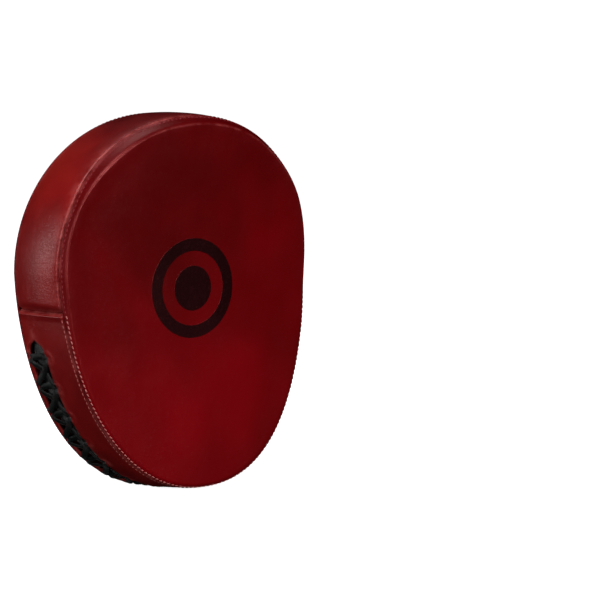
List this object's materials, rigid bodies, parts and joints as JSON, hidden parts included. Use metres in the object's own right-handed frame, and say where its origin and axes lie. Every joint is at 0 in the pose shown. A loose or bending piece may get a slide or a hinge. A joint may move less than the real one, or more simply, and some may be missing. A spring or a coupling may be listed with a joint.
{
  "type": "focus mitt",
  "caption": "Padded leather striking target worn on the hand, with a finger hood, a thumb sleeve, a grip ball and a wrist strap behind it.",
  "frame": {"origin": "middle of the palm on the outer face of the back panel, where the hand holds the mitt", "axes": "+Z towards the fingertips, +Y out of the back panel towards the hand, -Y out of the striking face, +X towards the thumb"},
  "size_m": [0.2108, 0.0912, 0.254],
  "materials": {
    "face_leather": "semi-gloss mottled blood-red leather",
    "gusset_leather": "semi-gloss dark red leather",
    "back_leather": "semi-gloss dark red leather",
    "black_leather": "satin black leather",
    "black_fabric": "matte black woven nylon",
    "lace": "waxed black braided lace",
    "hook_and_loop": "matte black hook-and-loop tape",
    "foam": "matte closed-cell foam",
    "firm_board": "matte dense plastic sheet"
  },
  "bodies": {
    "pad": {"face_panel": "face_leather", "upper_gusset": "gusset_leather", "gusset_padding": "foam", "lower_gusset": "gusset_leather", "back_panel": "back_leather", "face_foam": "foam", "core_foam": "foam", "firm_sheet": "firm_board", "back_foam": "foam", "lace_tongue": "black_fabric", "side_lace": "lace", "hood_cover": "back_leather", "hood_foam": "foam", "hood_lining": "black_fabric", "hood_binding": "black_leather", "thumb_sleeve": "back_leather", "thumb_lining": "black_fabric", "thumb_binding_lower": "black_leather", "thumb_binding_upper": "black_leather", "palm_patch": "black_leather", "finger_bed": "black_fabric", "palm_ball_cover": "back_leather", "palm_ball_core": "foam", "strap_root": "back_leather", "flap_root": "back_leather"},
    "strap": {"strap_band": "back_leather"},
    "strap_tail": {"strap_end": "back_leather", "pull_tab": "black_leather", "hook_patch": "hook_and_loop"},
    "flap": {"inner_flap": "back_leather", "loop_patch": "hook_and_loop"}
  },
  "joints": [
    {"name": "strap_open", "type": "hinge", "parent": "pad", "child": "strap", "pos_m": [-0.05, 0.0023, -0.048], "axis": [0, 0, 1], "range_deg": [0, 90]},
    {"name": "strap_peel", "type": "hinge", "parent": "strap", "child": "strap_tail", "pos_m": [-0.01967, 0.03534, -0.048], "axis": [0, 0, 1], "range_deg": [0, 75]},
    {"name": "flap_open", "type": "hinge", "parent": "pad", "child": "flap", "pos_m": [0.0437, 0.0023, -0.048], "axis": [0, 0, -1], "range_deg": [0, 30]}
  ],
  "couplings": [
    {"joint": "flap_open", "follows": "strap_open", "ratio": 0.33333}
  ]
}
